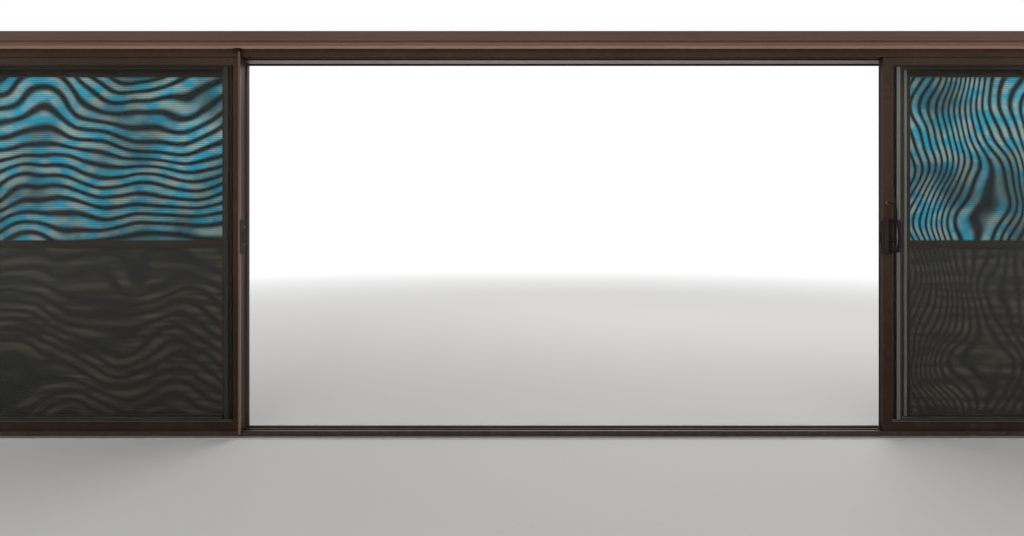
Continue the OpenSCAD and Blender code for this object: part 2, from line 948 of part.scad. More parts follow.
left_screen() screen_stiles();  // left_screen_stiles
left_screen() screen_rails();  // left_screen_rails
left_screen() screen_mesh();  // left_screen_mesh
left_screen() screen_rollers();  // left_screen_rollers
screen_stiles();  // right_screen_stiles
screen_rails();  // right_screen_rails
screen_mesh();  // right_screen_mesh
screen_rollers();  // right_screen_rollers
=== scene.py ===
"""Looks of the sliding glass door set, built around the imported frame, in metres."""
import math
import random

import bmesh
import bpy
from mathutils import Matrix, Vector


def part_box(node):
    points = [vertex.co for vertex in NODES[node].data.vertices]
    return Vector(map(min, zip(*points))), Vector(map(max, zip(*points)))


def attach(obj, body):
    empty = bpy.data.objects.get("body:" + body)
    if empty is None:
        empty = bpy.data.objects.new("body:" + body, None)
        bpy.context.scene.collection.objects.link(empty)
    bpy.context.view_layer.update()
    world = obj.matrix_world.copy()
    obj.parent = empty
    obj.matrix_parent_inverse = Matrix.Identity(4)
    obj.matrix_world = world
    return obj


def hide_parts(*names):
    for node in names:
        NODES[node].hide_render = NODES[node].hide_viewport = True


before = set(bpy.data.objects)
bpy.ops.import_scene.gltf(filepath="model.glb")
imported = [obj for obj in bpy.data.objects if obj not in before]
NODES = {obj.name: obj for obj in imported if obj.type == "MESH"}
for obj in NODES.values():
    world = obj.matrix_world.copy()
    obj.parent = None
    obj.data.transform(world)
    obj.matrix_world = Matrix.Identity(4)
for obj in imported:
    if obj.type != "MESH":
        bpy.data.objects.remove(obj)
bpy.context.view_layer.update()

MM = 0.001
X, Y, Z = (1, 0, 0), (0, 1, 0), (0, 0, 1)
SIDES = (("left", -1), ("right", 1))
rng = random.Random(11)


# Small helpers for node trees

def srgb(red, green, blue):
    """A colour as it looks on screen, 0 to 255, as the linear colour of a shader."""
    linear = []
    for value in (red, green, blue):
        c = value / 255
        linear.append(c / 12.92 if c <= 0.04045 else ((c + 0.055) / 1.055) ** 2.4)
    return (*linear, 1.0)


class Tree:
    """A material's node tree, with its Principled shader."""

    def __init__(self, name):
        self.material = bpy.data.materials.new(name)
        self.material.use_nodes = True
        self.nodes = self.material.node_tree.nodes
        self.links = self.material.node_tree.links
        self.shader = self.nodes["Principled BSDF"]
        self.place = self.add("ShaderNodeTexCoord").outputs["Object"]

    def add(self, kind, inputs=None, **settings):
        node = self.nodes.new(kind)
        for key, value in settings.items():
            setattr(node, key, value)
        for key, value in (inputs or {}).items():
            self.feed(node.inputs[key], value)
        return node

    def feed(self, socket, value):
        if isinstance(value, bpy.types.NodeSocket):
            self.links.new(value, socket)
        else:
            socket.default_value = value

    def set(self, **values):
        """Sets sockets of the Principled shader, with _ for a space in a name."""
        for key, value in values.items():
            self.feed(self.shader.inputs[key.replace("_", " ")], value)

    def axes(self):
        """The point's coordinates in the part's frame, by the names X, Y and Z."""
        return self.add("ShaderNodeSeparateXYZ", {"Vector": self.place}).outputs

    def scaled(self, x, y, z):
        """The point stretched along each axis, for noise that runs one way."""
        return self.add("ShaderNodeMapping", {"Vector": self.place, "Scale": (x, y, z)}).outputs["Vector"]

    def noise(self, scale, detail=2.0, where=None, rough=0.5):
        inputs = {"Vector": where or self.place, "Scale": scale, "Detail": detail, "Roughness": rough}
        return self.add("ShaderNodeTexNoise", inputs).outputs["Fac"]

    def span(self, value, low, high, to_low=0.0, to_high=1.0):
        """Value from low..high stretched to to_low..to_high, and kept inside."""
        inputs = {"Value": value, "From Min": low, "From Max": high, "To Min": to_low, "To Max": to_high}
        return self.add("ShaderNodeMapRange", inputs).outputs["Result"]

    def math(self, operation, a, b=0.0):
        return self.add("ShaderNodeMath", {0: a, 1: b}, operation=operation).outputs[0]

    def mix(self, factor, a, b, blend="MIX"):
        node = self.add("ShaderNodeMix", data_type="RGBA", blend_type=blend)
        self.feed(node.inputs["Factor"], factor)
        self.feed(node.inputs["A"], a)
        self.feed(node.inputs["B"], b)
        return node.outputs["Result"]

    def bump(self, height, distance, strength=1.0, normal=None):
        node = self.add("ShaderNodeBump", {"Height": height, "Distance": distance, "Strength": strength})
        if normal is not None:
            self.feed(node.inputs["Normal"], normal)
        return node.outputs["Normal"]

    def facing_up(self):
        """1 on faces that look up."""
        normal = self.add("ShaderNodeNewGeometry").outputs["Normal"]
        up = self.add("ShaderNodeSeparateXYZ", {"Vector": normal}).outputs["Z"]
        return self.span(up, 0.6, 0.9)

    def soft_edges(self, radius):
        """Normal that rounds the edges off, and a mask that is 1 at them."""
        rounded = self.add("ShaderNodeBevel", {"Radius": radius}, samples=4).outputs["Normal"]
        flat = self.add("ShaderNodeNewGeometry").outputs["Normal"]
        dot = self.add("ShaderNodeVectorMath", {0: rounded, 1: flat}, operation="DOT_PRODUCT")
        return rounded, self.span(dot.outputs["Value"], 0.995, 0.80)


# How far noise is squeezed across a bar, so that it runs along X or Z as die lines
STREAK = {"x": (1.5, 420.0, 420.0), "z": (420.0, 420.0, 1.5)}


# Materials

def bronze_aluminium(axis, tracks=(), fin=False):
    """Bronze-brown satin finish: die lines along the bar, dust, rubbed edges, tracks, paler tops and a
    painted highlight on the fin.
    """
    t = Tree(f"bronze_aluminium_{axis}_{len(tracks)}{'_fin' if fin else ''}")
    rounded, edge = t.soft_edges(0.0012)
    streaks = t.noise(1.0, 3.0, t.scaled(*STREAK[axis]), 0.6)
    patches = t.noise(2.2, 4.0)
    dust = t.noise(26.0, 5.0, rough=0.65)
    specks = t.noise(900.0, 1.0)
    base = t.mix(t.span(patches, 0.35, 0.7), srgb(49, 36, 28), srgb(62, 47, 38))
    base = t.mix(t.span(streaks, 0.3, 0.75, 0.0, 0.5), base, srgb(73, 57, 46))
    base = t.mix(t.span(dust, 0.52, 0.8, 0.0, 0.3), base, srgb(96, 82, 70))
    # Faces that look up on level bars are painted paler
    if axis == "x" and not tracks:
        paler_on_top = t.math("MULTIPLY", t.facing_up(), t.span(dust, 0.3, 0.6, 0.45, 0.8))
        base = t.mix(paler_on_top, base, srgb(164, 151, 136))
    worn = t.math("MULTIPLY", edge, t.span(t.noise(45.0, 3.0), 0.45, 0.62))
    base = t.mix(t.math("MULTIPLY", worn, 0.6), base, srgb(132, 115, 101))
    metallic = 0.45
    # The left door's fin gets a painted highlight on its nose
    if fin:
        base = t.mix(fin_painted_highlight(t), base, srgb(150, 124, 111))
    if tracks:
        base = t.mix(t.span(dust, 0.35, 0.65, 0.35, 0.75), base, srgb(86, 78, 72))
    for y, top in tracks:
        rubbed = t.math("MULTIPLY", track_mask(t, y, top), t.span(streaks, 0.2, 0.6, 0.55, 1.0))
        base = t.mix(rubbed, base, srgb(186, 182, 176))
        metallic = t.math("MAXIMUM", metallic, t.math("MULTIPLY", rubbed, 0.9))
    rough = t.math("ADD", t.span(streaks, 0.2, 0.8, 0.32, 0.46), t.span(dust, 0.5, 0.8, 0.0, 0.18))
    height = t.math("ADD", t.math("MULTIPLY", streaks, 0.6), t.math("MULTIPLY", specks, 0.4))
    t.set(Base_Color=base, Metallic=metallic, Roughness=rough, Specular_IOR_Level=0.12,
          Normal=t.bump(height, 0.00006, 0.5, rounded))
    return t.material


def track_mask(t, y, top):
    """1 on the crown of a track rib whose middle is at y and whose top is at a height."""
    axes = t.axes()
    off = t.math("ABSOLUTE", t.math("SUBTRACT", axes["Y"], y))
    return t.math("MULTIPLY", t.span(off, 0.0024, 0.0016), t.span(axes["Z"], top - 0.002, top - 0.001))


# X and Y where the painted highlight on the nose of the left door's fin starts
FIN_NOSE = (-1.7475, -0.0750)


def fin_painted_highlight(t):
    """Painted highlight on the left door's fin: on its nose, stronger low down."""
    axes = t.axes()
    nose = t.math("MULTIPLY", t.span(axes["X"], FIN_NOSE[0] - 0.0005, FIN_NOSE[0] + 0.0005),
                  t.span(axes["Y"], FIN_NOSE[1] + 0.0005, FIN_NOSE[1] - 0.0005))
    return t.math("MULTIPLY", nose, t.span(axes["Z"], 1.8, 0.4, 0.3, 0.75))


def mill_aluminium():
    """Bare aluminium underfoot: bright, scuffed along its length, with patches of dirt."""
    t = Tree("mill_aluminium")
    rounded, edge = t.soft_edges(0.0015)
    lines = t.noise(1.0, 3.0, t.scaled(2.0, 500.0, 500.0), 0.6)
    scuffs = t.noise(1.0, 4.0, t.scaled(30.0, 90.0, 90.0), 0.7)
    grime = t.noise(9.0, 5.0, rough=0.7)
    base = t.mix(t.span(lines, 0.3, 0.7), srgb(176, 172, 166), srgb(202, 199, 193))
    base = t.mix(t.span(grime, 0.5, 0.75, 0.0, 0.6), base, srgb(128, 118, 106))
    base = t.mix(t.span(scuffs, 0.60, 0.72, 0.0, 0.5), base, srgb(218, 216, 212))
    base = t.mix(t.math("MULTIPLY", edge, 0.5), base, srgb(214, 210, 205))
    rough = t.math("ADD", t.span(lines, 0.3, 0.7, 0.30, 0.42), t.span(grime, 0.45, 0.75, 0.0, 0.25))
    t.set(Base_Color=base, Metallic=0.35, Roughness=rough,
          Normal=t.bump(t.math("ADD", lines, scuffs), 0.00010, 0.5, rounded))
    return t.material


def painted_timber(axis, place, tones):
    """Satin paint with brush marks along the board and the grain just showing through.

    The tones are the paint's two shades, the grain, the brush marks and bare wood at a chip.
    """
    t = Tree(f"painted_timber_{place}_{axis}")
    dark, light, seam, stroke, bare = tones
    rounded, edge = t.soft_edges(0.0015)
    along = {"x": (4.0, 260.0, 260.0), "z": (260.0, 260.0, 4.0)}[axis]
    grain_way = {"x": (0.9, 34.0, 34.0), "z": (34.0, 34.0, 0.9)}[axis]
    brush = t.noise(1.0, 2.0, t.scaled(*along), 0.6)
    grain = t.noise(1.0, 4.0, t.scaled(*grain_way), 0.6)
    patches = t.noise(1.6, 3.0)
    scuffs = t.noise(60.0, 4.0, rough=0.7)
    base = t.mix(t.span(patches, 0.3, 0.7), dark, light)
    base = t.mix(t.span(grain, 0.40, 0.65, 0.0, 0.35), base, seam)
    base = t.mix(t.span(brush, 0.45, 0.75, 0.0, 0.3), base, stroke)
    chips = t.math("MULTIPLY", edge, t.span(scuffs, 0.55, 0.62))
    base = t.mix(t.math("MULTIPLY", chips, 0.5), base, bare)
    rough = t.math("ADD", t.span(brush, 0.3, 0.7, 0.36, 0.48), t.span(scuffs, 0.5, 0.8, 0.0, 0.15))
    height = t.math("ADD", t.math("MULTIPLY", brush, 0.55), t.math("MULTIPLY", grain, 0.6))
    t.set(Base_Color=base, Roughness=rough, Specular_IOR_Level=0.3,
          Normal=t.bump(height, 0.00025, 0.5, rounded))
    return t.material


def clear_glass():
    """Float glass with a faint green-blue tint, wiping marks and patches of salt dust."""
    t = Tree("clear_glass")
    wipes = t.noise(1.0, 3.0, t.scaled(5.0, 5.0, 1.6), 0.6)
    dust = t.noise(240.0, 3.0, rough=0.7)
    film = t.noise(1.4, 3.0)
    t.set(Base_Color=srgb(246, 250, 249), Transmission_Weight=1.0, IOR=1.08,
          Roughness=t.span(wipes, 0.45, 0.8, 0.0, 0.02))
    haze = t.add("ShaderNodeBsdfDiffuse", {"Color": srgb(196, 200, 198)})
    dusty = t.math("MULTIPLY", t.span(dust, 0.50, 0.75, 0.2, 1.0), t.span(film, 0.35, 0.7, 0.001, 0.005))
    with_dust = t.add("ShaderNodeMixShader", {0: dusty, 1: t.shader.outputs[0], 2: haze.outputs[0]})
    clear = t.add("ShaderNodeBsdfTransparent", {"Color": srgb(246, 250, 249)})
    shadow = t.add("ShaderNodeLightPath").outputs["Is Shadow Ray"]
    both = t.add("ShaderNodeMixShader", {0: shadow, 1: with_dust.outputs[0], 2: clear.outputs[0]})
    t.links.new(both.outputs[0], t.nodes["Material Output"].inputs["Surface"])
    return t.material


def black_rubber():
    """Matt seal with moulding lines and a bloom of dust."""
    t = Tree("black_rubber")
    fine = t.noise(1400.0, 2.0)
    bloom = t.noise(18.0, 5.0, rough=0.7)
    base = t.mix(t.span(bloom, 0.45, 0.8, 0.0, 0.6), srgb(22, 22, 23), srgb(62, 60, 58))
    t.set(Base_Color=base, Roughness=t.span(bloom, 0.3, 0.8, 0.55, 0.85),
          Normal=t.bump(fine, 0.00008, 0.6))
    return t.material


# Distances from band to band and from dash to dash of the light and dark bands painted into the insect
# mesh's colour
LEVEL_BAND = 0.075
UPRIGHT_BAND = 0.044
DASH = 0.0115


def insect_mesh():
    """Coating of the mesh, with painted light: soft wavy light and dark bands, and painted shade below the
    middle rail.

    The bands stand for light in a fine weave, painted as colour, so they stay in every view. They run
    mostly level on the left screen and mostly upright on the right one. The upper pane is a painted
    sky-blue and pale grey reflection with patches of painted shade; the lower pane is painted shade, darker
    and browner.
    """
    t = Tree("insect_mesh")
    axes = t.axes()
    low = t.span(axes["Z"], 1.06, 1.02)
    right = t.span(axes["X"], -0.5, 0.5)
    level = t.math("MULTIPLY", axes["Z"], 2 * math.pi / LEVEL_BAND)
    upright = t.math("MULTIPLY", axes["X"], 2 * math.pi / UPRIGHT_BAND)
    run = t.math("ADD", t.math("MULTIPLY", upright, right),
                 t.math("MULTIPLY", level, t.math("SUBTRACT", 1.0, right)))
    warp = t.math("MULTIPLY", t.noise(1.5, 1.5, rough=0.4), t.span(right, 0.0, 1.0, 70.0, 110.0))
    bands = t.math("SINE", t.math("ADD", run, warp))
    painted_dashes = t.math("SINE", t.math("MULTIPLY", axes["Z"], 2 * math.pi / DASH))
    # Noise for the painted sheen and for the patches of painted shade
    painted_sheen = t.noise(1.0, 2.0, t.scaled(9.0, 0.0, 14.0))
    shade = t.noise(2.6, 2.0)
    # Upper pane: a painted sky-blue and pale grey reflection, with patches of painted shade and dark
    # painted dashes
    upper = t.mix(t.span(painted_sheen, 0.42, 0.60), srgb(44, 204, 244), srgb(196, 216, 214))
    upper = t.mix(t.span(shade, 0.44, 0.66, 0.0, 0.7), upper, srgb(40, 50, 52))
    upper = t.mix(t.span(painted_dashes, -0.8, 0.8, 0.0, 0.45), upper, srgb(18, 26, 30))
    # Lower pane: painted shade, darker and browner, with lighter painted streaks
    streaks = t.noise(1.0, 2.0, t.scaled(2.5, 0.0, 26.0))
    lower = t.mix(t.span(streaks, 0.42, 0.66), srgb(48, 37, 28), srgb(94, 79, 65))
    # Dark of the painted bands, browner below the middle rail
    dark = t.mix(low, srgb(6, 9, 12), srgb(36, 28, 21))
    base = t.mix(t.span(bands, -0.8, 0.6), dark, t.mix(low, upper, lower))
    grit = t.noise(700.0, 2.0)
    t.set(Base_Color=base, Roughness=t.span(grit, 0.3, 0.7, 0.45, 0.65), Specular_IOR_Level=0.3)
    return t.material


# The pull's back plate: X and Z of its bronze panel's middle, half its width and height, Y of its face
PLATE_MIDDLE = (1.7545, 1.086)
PLATE_HALF = (0.0115, 0.0930)
PLATE_BACK = -0.0690
# Heights between which the finger bow's round seat starts to show pale
SEAT_FOOT = (1.240, 1.245)


def black_metal(name, plate=False):
    """Black powder coat with orange peel, rubbed through at the edges.

    A plate has a bronze panel on its lock side and a pale seat under the finger bow.
    """
    t = Tree(name)
    rounded, edge = t.soft_edges(0.0012)
    peel = t.noise(650.0, 2.0)
    hands = t.noise(40.0, 4.0, rough=0.65)
    base = t.mix(t.span(hands, 0.4, 0.75), srgb(15, 14, 13), srgb(28, 26, 24))
    if plate:
        face, seat = plate_masks(t)
        base = t.mix(face, base, t.mix(t.span(hands, 0.35, 0.7), srgb(50, 37, 29), srgb(64, 49, 40)))
        base = t.mix(seat, base, t.mix(t.span(hands, 0.35, 0.7), srgb(104, 86, 74), srgb(142, 122, 108)))
    worn = t.math("MULTIPLY", edge, t.span(t.noise(120.0, 3.0), 0.50, 0.60))
    base = t.mix(t.math("MULTIPLY", worn, 0.8), base, srgb(108, 101, 94))
    t.set(Base_Color=base, Metallic=t.span(worn, 0.0, 1.0, 0.0, 0.9), Specular_IOR_Level=0.15,
          Roughness=t.span(hands, 0.35, 0.7, 0.40, 0.58),
          Normal=t.bump(peel, 0.00010, 0.5, rounded))
    return t.material


def plate_masks(t):
    """Masks that are 1 on the bronze panel of the pull's back plate, and on the finger bow's round seat."""
    axes = t.axes()
    back = t.span(axes["Y"], PLATE_BACK - 0.0003, PLATE_BACK + 0.0002)
    inside = back
    for axis, middle, half in zip("XZ", PLATE_MIDDLE, PLATE_HALF):
        off = t.math("ABSOLUTE", t.math("SUBTRACT", axes[axis], middle))
        inside = t.math("MULTIPLY", inside, t.span(off, half, half - 0.0006))
    return inside, t.math("MULTIPLY", back, t.span(axes["Z"], *SEAT_FOOT))


def filled_nails():
    """Putty over the nail heads, a shade off the paint round it."""
    t = Tree("filled_nails")
    smears = t.noise(420.0, 3.0)
    t.set(Base_Color=t.mix(t.span(smears, 0.3, 0.7), srgb(90, 66, 54), srgb(122, 97, 84)), Roughness=0.6,
          Normal=t.bump(smears, 0.0002, 0.6))
    return t.material


def wool_pile(name, dark, light):
    """Dense pile of the weather strips."""
    t = Tree(name)
    hairs = t.noise(1600.0, 2.0)
    base = t.mix(t.span(hairs, 0.3, 0.7), dark, light)
    t.set(Base_Color=base, Roughness=0.95, Sheen_Weight=0.3, Normal=t.bump(hairs, 0.0004, 0.9))
    return t.material


def plated_steel():
    """Bright plated screw heads, a little tarnished."""
    t = Tree("plated_steel")
    tarnish = t.noise(500.0, 3.0)
    base = t.mix(t.span(tarnish, 0.35, 0.7), srgb(188, 184, 176), srgb(128, 121, 112))
    t.set(Base_Color=base, Metallic=0.9, Roughness=t.span(tarnish, 0.3, 0.7, 0.22, 0.45),
          Normal=t.bump(tarnish, 0.00005, 0.5))
    return t.material


# Y of each track rib of the sill, and the height of its crown
SILL_TRACKS = ((-0.047, 0.026), (0.053, 0.018))
BRONZE_X = bronze_aluminium("x")
BRONZE_Z = bronze_aluminium("z")
BRONZE_SILL = bronze_aluminium("x", SILL_TRACKS)
BRONZE_FIN = bronze_aluminium("z", fin=True)
MILL = mill_aluminium()
# Two shades of paint, the grain, the brush marks and bare wood at a chip
WALL_PAINT = (srgb(78, 55, 43), srgb(90, 65, 52), srgb(68, 47, 37),
              srgb(102, 76, 63), srgb(140, 114, 97))
# The reveal's tones are the same paint painted lighter, as painted light on its underside and edge
LIT_REVEAL_PAINT = (srgb(100, 79, 68), srgb(113, 91, 79), srgb(88, 68, 58),
                srgb(126, 104, 92), srgb(158, 136, 121))
TIMBER = {}
for axis in "xz":
    TIMBER["architrave", axis] = painted_timber(axis, "architrave", WALL_PAINT)
    TIMBER["reveal", axis] = painted_timber(axis, "reveal", LIT_REVEAL_PAINT)
GLASS = clear_glass()
RUBBER = black_rubber()
MESH = insect_mesh()
BLACK = black_metal("black_metal")
PULL = black_metal("black_metal_pull", plate=True)
PILE = wool_pile("dark_pile", srgb(18, 18, 19), srgb(58, 56, 55))
# The same pile painted light grey, as painted light where daylight falls on the right side's strips
PILE_PAINTED_LIT = wool_pile("pile_painted_lit", srgb(82, 81, 80), srgb(150, 148, 146))
PILE_OF = {"left": PILE, "right": PILE_PAINTED_LIT}
STEEL = plated_steel()
PUTTY = filled_nails()


# Materials of the CAD nodes

def material_of(node):
    """The material of a CAD node, by its name."""
    upright = node.endswith(("stile", "interlock", "stiles")) or "jamb" in node
    if node.startswith(("reveal", "architrave")):
        return TIMBER[node.split("_")[0], "z" if node.endswith("sides") else "x"]
    if node in ("floor_trim", "outer_nosing"):
        return MILL
    if node == "frame_sill":
        return BRONZE_SILL
    if node == "left_door_meeting_stile":
        return BRONZE_FIN
    if node.endswith("glass"):
        return GLASS
    if "gasket" in node:
        return RUBBER
    if node.endswith("pull"):
        return PULL
    if node.endswith(("rollers", "keeper", "lock_plate", "snib")):
        return BLACK
    return BRONZE_Z if upright else BRONZE_X


for name, node in NODES.items():
    node.data.materials.clear()
    node.data.materials.append(material_of(name))


# Pieces that the CAD leaves to this script

def piece(name, vertices, faces, material, body, smooth=False, bevel=0.0):
    """A new mesh piece that rides on a body."""
    mesh = bpy.data.meshes.new(name)
    mesh.from_pydata(vertices, [], faces)
    work = bmesh.new()
    work.from_mesh(mesh)
    bmesh.ops.recalc_face_normals(work, faces=work.faces)
    if bevel:
        bmesh.ops.bevel(work, geom=work.edges[:], offset=bevel, segments=3, profile=0.5, affect="EDGES")
    work.to_mesh(mesh)
    work.free()
    mesh.materials.append(material)
    mesh.polygons.foreach_set("use_smooth", [smooth] * len(mesh.polygons))
    made = bpy.data.objects.new(name, mesh)
    bpy.context.scene.collection.objects.link(made)
    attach(made, body)
    return made


class Shape:
    """Vertices and faces that grow into one piece."""

    def __init__(self):
        self.vertices = []
        self.faces = []

    def add(self, vertices, faces):
        start = len(self.vertices)
        self.vertices += vertices
        self.faces += [tuple(i + start for i in face) for face in faces]

    def rings(self, rings):
        """A closed tube through rings of points that all have the same count, with end caps."""
        n = len(rings[0])
        faces = [tuple(range(n - 1, -1, -1))]
        for r in range(len(rings) - 1):
            for i in range(n):
                j = (i + 1) % n
                faces.append((r * n + i, r * n + j, (r + 1) * n + j, (r + 1) * n + i))
        last = (len(rings) - 1) * n
        faces.append(tuple(range(last, last + n)))
        self.add([tuple(p) for ring in rings for p in ring], faces)

    def box(self, low, high):
        """A box between two corners."""
        across = ((low[1], low[2]), (high[1], low[2]), (high[1], high[2]), (low[1], high[2]))
        self.rings([[(x, y, z) for y, z in across] for x in (low[0], high[0])])

    def piece(self, name, material, body, slot, smooth=False, bevel=0.0):
        return piece(name, self.vertices, self.faces, material, body, smooth, bevel)


# Half the width and half the thickness of a flat wire, and the distance from wire to wire. The wires
# nearly touch, so that the white studio doesn't show through. Those of real mesh are far thinner.
WIRE_HALF_W = 0.73 * MM
WIRE_HALF_T = 0.30 * MM
WIRE_PITCH = 1.6 * MM
# How far each of the two layers of wires lies from the middle of the CAD's sheet
LAYER_OFF = 0.33 * MM
MID_RAIL_EDGES = (1.023, 1.063)
# How far the mesh reaches behind the middle rail's edge, the radius of its rubber cord, and how far the
# cord lies to the room side of the sheet's middle
MESH_EDGE = 7 * MM
SPLINE_R = 1.5 * MM
SPLINE_OFF = 0.6 * MM


def wire(shape, start, end):
    """One straight flat wire along X or Z, a diamond in section."""
    w, t = WIRE_HALF_W, WIRE_HALF_T
    along_x = abs(end[0] - start[0]) > abs(end[2] - start[2])
    rings = []
    for x, y, z in (start, end):
        if along_x:
            ring = [(x, y, z + w), (x, y - t, z), (x, y, z - w), (x, y + t, z)]
        else:
            ring = [(x + w, y, z), (x, y + t, z), (x - w, y, z), (x, y - t, z)]
        rings.append(ring)
    shape.rings(rings)


def cord_frame(shape, x0, x1, z0, z1, y, radius, steps=8):
    """A round cord along the four sides of a rectangle, mitred at its corners."""
    corners = ((x0, z0, -1, -1), (x1, z0, 1, -1), (x1, z1, 1, 1), (x0, z1, -1, 1))
    vertices = []
    for x, z, out_x, out_z in corners:
        for i in range(steps):
            a = 2 * math.pi * i / steps
            across = radius * math.cos(a)
            vertices.append((x + out_x * across, y + radius * math.sin(a), z + out_z * across))
    faces = []
    for c in range(4):
        first, second = c * steps, (c + 1) % 4 * steps
        for i in range(steps):
            j = (i + 1) % steps
            faces.append((first + i, first + j, second + j, second + i))
    shape.add(vertices, faces)


def mesh_wires(side):
    """The mesh of one screen, upper and lower pane, in place of its CAD sheet, and its rubber cords.

    It is a layer of upright and a layer of level wires, which don't weave.
    """
    node = f"{side}_screen_mesh"
    low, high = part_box(node)
    y = (low.y + high.y) / 2
    wires = Shape()
    cords = Shape()
    panes = ((low.z, MID_RAIL_EDGES[0] + MESH_EDGE), (MID_RAIL_EDGES[1] - MESH_EDGE, high.z))
    inset = MESH_EDGE + SPLINE_R
    for z0, z1 in panes:
        for i in range(1, int((high.x - low.x) / WIRE_PITCH)):
            x = low.x + i * WIRE_PITCH
            wire(wires, (x, y + LAYER_OFF, z0), (x, y + LAYER_OFF, z1))
        for i in range(1, int((z1 - z0) / WIRE_PITCH)):
            z = z0 + i * WIRE_PITCH
            wire(wires, (low.x, y - LAYER_OFF, z), (high.x, y - LAYER_OFF, z))
        cord_frame(cords, low.x + inset, high.x - inset, z0 + inset, z1 - inset,
                   y - SPLINE_OFF - SPLINE_R, SPLINE_R)
    made = wires.piece(f"{side}_mesh_wires", MESH, f"{side}_screen", "insect_mesh")
    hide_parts(node)
    cords.piece(f"{side}_mesh_spline", RUBBER, f"{side}_screen", "black_rubber", True)


for side, _ in SIDES:
    mesh_wires(side)


SCREW_STEPS = 16


def screw(shape, centre, facing, radius, height):
    """Domed screw head with a cross recess, facing along one axis."""
    steps = SCREW_STEPS
    turns = [2 * math.pi * i / steps for i in range(steps)]

    def ring(reach, lift):
        return [on_axis(centre, facing, radius * r * math.cos(a), radius * r * math.sin(a), height * lift)
                for a, r in zip(turns, reach)]

    cross = [0.42 if i % 4 == 0 else 0.13 for i in range(steps)]
    rings = [ring([r] * steps, lift) for r, lift in ((1.0, 0.0), (1.0, 0.35), (0.86, 0.75), (0.5, 1.0))]
    rings.append(ring(cross, 1.0))
    rings.append(ring([0.3 * r for r in cross], 0.55))
    shape.rings(rings)


def on_axis(centre, facing, u, v, w):
    """Centre moved by w along the facing direction and by u, v across it."""
    x, y, z = centre
    axis = facing[1]
    sign = 1 if facing[0] == "+" else -1
    if axis == "x":
        return (x + sign * w, y + sign * u, z + v)
    if axis == "y":
        return (x - sign * u, y + sign * w, z + v)
    return (x + sign * u, y + v, z + sign * w)


# Distance from the middle to the leading edge of each open door and screen
DOOR_LEAD = 1.7385
SCREEN_LEAD = {"left": 1.771, "right": 1.920}
# Thickness and height of the keeper and the lock plate
PLATE_T = 2.5 * MM
KEEPER_Z = 1.083


def screws(name, material, body, slot, places, facing, radius, height):
    """One piece with a screw head at each place."""
    shape = Shape()
    for place in places:
        screw(shape, place, facing, radius, height)
    shape.piece(name, material, body, slot, True)


def furniture_screws():
    """Screws of the keeper, the lock plate and the pull, and the keeper's bright adjusters."""
    keeper_x = -DOOR_LEAD + PLATE_T
    screws("keeper_screws", BLACK, "left_door", "black_metal",
           [(keeper_x, -0.0675, z) for z in (KEEPER_Z - 0.081, KEEPER_Z + 0.081)],
           "+x", 3.6 * MM, 1.2 * MM)
    screws("keeper_adjusters", STEEL, "left_door", "mill_aluminium",
           [(-DOOR_LEAD, -0.0435, z) for z in (1.042, 1.1376)],
           "+x", 3.2 * MM, 2.2 * MM)
    screws("lock_plate_screws", BLACK, "right_door", "black_metal",
           [(DOOR_LEAD - PLATE_T, -0.047, z) for z in (KEEPER_Z - 0.08, KEEPER_Z + 0.08)],
           "-x", 3.6 * MM, 1.2 * MM)
    pull_z = PLATE_MIDDLE[1]
    screws("pull_plate_screws", BLACK, "right_door", "black_metal",
           [(DOOR_LEAD + 0.0105, -0.0685, z) for z in (pull_z - 0.086, pull_z + 0.086)],
           "-y", 4.0 * MM, 1.2 * MM)


def frame_screws():
    """Screws that hold the rails of the doors and screens, on the stiles' leading edges."""
    for side, s in SIDES:
        facing = "+x" if s < 0 else "-x"
        screws(f"{side}_door_frame_screws", BLACK, f"{side}_door", "black_metal",
               [(s * DOOR_LEAD, -0.054, z) for z in (0.048, 0.068, 2.032, 2.052)],
               facing, 4.0 * MM, 1.4 * MM)
        screws(f"{side}_screen_frame_screws", BLACK, f"{side}_screen", "black_metal",
               [(s * SCREEN_LEAD[side], 0.053, z) for z in (0.040, 0.060, 2.010, 2.040)],
               facing, 3.4 * MM, 1.2 * MM)


# Y of the architrave's face, and the distance from nail to nail
TIMBER_FACE = -0.1305
NAIL_STEP = 0.45


def nail_spots():
    """Filled nail heads along the architrave and the reveal's underside."""
    shape = Shape()
    for i in range(-8, 9):
        spot(shape, (i * NAIL_STEP, TIMBER_FACE, 2.154), "-y")
    for _, s in SIDES:
        for i in range(5):
            spot(shape, (s * 3.864, TIMBER_FACE, 0.15 + i * NAIL_STEP), "-y")
    for i in range(-8, 9):
        spot(shape, (i * NAIL_STEP + 0.2, -0.098, 2.1), "-z")
    shape.piece("nail_spots", PUTTY, "frame", "painted_timber", True)


SPOT_STEPS = 12
# Radius and height of each ring of a filled nail head
SPOT_RINGS = ((2.6 * MM, 0.0), (2.3 * MM, 0.12 * MM), (1.2 * MM, 0.18 * MM))


def spot(shape, centre, facing):
    """A low dome over one nail head."""
    turns = [2 * math.pi * i / SPOT_STEPS for i in range(SPOT_STEPS)]
    shape.rings([[on_axis(centre, facing, reach * math.cos(a), reach * math.sin(a), lift) for a in turns]
                 for reach, lift in SPOT_RINGS])


def fin_cap():
    """Black guide block on the top of the left door's fin."""
    shape = Shape()
    shape.box((-1.779, -0.0890, 2.080), (-1.737, -0.0775, 2.094))
    shape.piece("left_door_top_cap", BLACK, "left_door", "black_metal", True, 1.5 * MM)


furniture_screws()
frame_screws()
nail_spots()
fin_cap()


# Length from one ring of a pile strip to the next, and its section in parts of its width and height
PILE_STEP = 0.012
PILE_OUTLINE = ((-0.5, 0.0), (-0.5, 0.45), (-0.36, 0.9), (0.0, 1.0), (0.36, 0.9), (0.5, 0.45), (0.5, 0.0))


